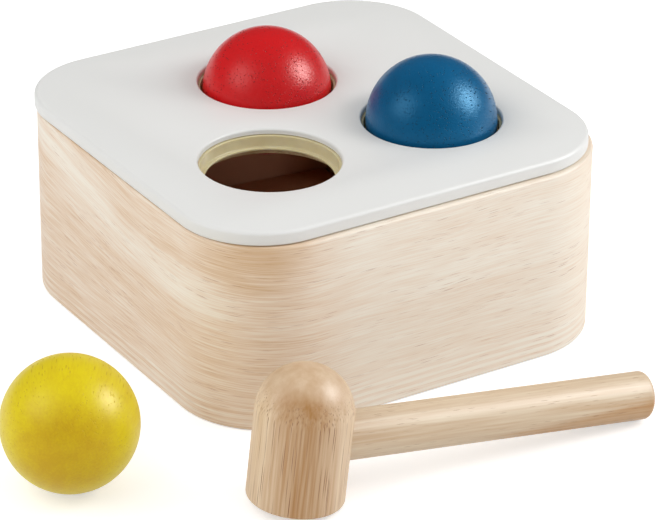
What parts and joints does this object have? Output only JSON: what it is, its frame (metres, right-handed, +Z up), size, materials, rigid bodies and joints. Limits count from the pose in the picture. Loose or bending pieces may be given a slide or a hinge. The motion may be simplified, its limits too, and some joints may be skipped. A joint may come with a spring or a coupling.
{
  "type": "ball pounding box",
  "caption": "Rounded wooden box whose pale lid grips wooden balls in elastic rings; a hammer knocks them through onto a ramp that rolls them out of an arched exit.",
  "frame": {"origin": "middle of the box's underside, on the surface that the box, the loose ball and the hammer stand on", "axes": "+Z up, -Y towards the front of the box, +X towards the side with the ball exit"},
  "size_m": [0.2391, 0.2195, 0.0964],
  "materials": {
    "bent_wood": "clear satin lacquer",
    "board_wood": "bare sanded board",
    "lid_lacquer": "off-white satin lacquer",
    "ring_elastomer": "translucent cream elastomer",
    "screw_steel": "plain zinc plate",
    "red_ball": "red stain, satin",
    "blue_ball": "blue stain, satin",
    "yellow_ball": "yellow stain, satin",
    "hammer_head_wood": "clear satin lacquer",
    "hammer_handle_wood": "clear satin lacquer"
  },
  "bodies": {
    "box": {"side_wall": "bent_wood", "base_board": "board_wood", "corner_post_front": "board_wood", "corner_post_back": "board_wood", "exit_post_front": "board_wood", "exit_post_back": "board_wood", "ramp_board": "board_wood", "ramp_cleat_front": "board_wood", "ramp_cleat_back": "board_wood", "ring_board": "board_wood", "lid": "lid_lacquer", "ring_front_left": "ring_elastomer", "ring_front_right": "ring_elastomer", "ring_back": "ring_elastomer", "base_screw_1": "screw_steel", "base_screw_2": "screw_steel", "base_screw_3": "screw_steel", "base_screw_4": "screw_steel", "post_screw_1": "screw_steel", "post_screw_2": "screw_steel", "post_screw_3": "screw_steel", "post_screw_4": "screw_steel", "lid_screw_1": "screw_steel", "lid_screw_2": "screw_steel", "lid_screw_3": "screw_steel", "lid_screw_4": "screw_steel"},
    "red_ball": {"red_ball": "red_ball"},
    "blue_ball": {"blue_ball": "blue_ball"},
    "yellow_ball": {"yellow_ball": "yellow_ball"},
    "hammer": {"hammer_head": "hammer_head_wood", "hammer_handle": "hammer_handle_wood"}
  },
  "joints": [
    {"name": "red_ball_drop", "type": "slide", "parent": "box", "child": "red_ball", "axis": [0, 0, -1], "range_m": [-0.06, 0.0337], "deforming": ["ring_back"]},
    {"name": "blue_ball_drop", "type": "slide", "parent": "box", "child": "blue_ball", "axis": [0, 0, -1], "range_m": [-0.06, 0.0392], "deforming": ["ring_front_right"]},
    {"name": "yellow_ball_lift", "type": "slide", "parent": "box", "child": "yellow_ball", "axis": [0, 0, 1], "range_m": [0, 0.12]},
    {"name": "hammer_lift", "type": "slide", "parent": "box", "child": "hammer", "axis": [0, 0, 1], "range_m": [0, 0.12]}
  ]
}
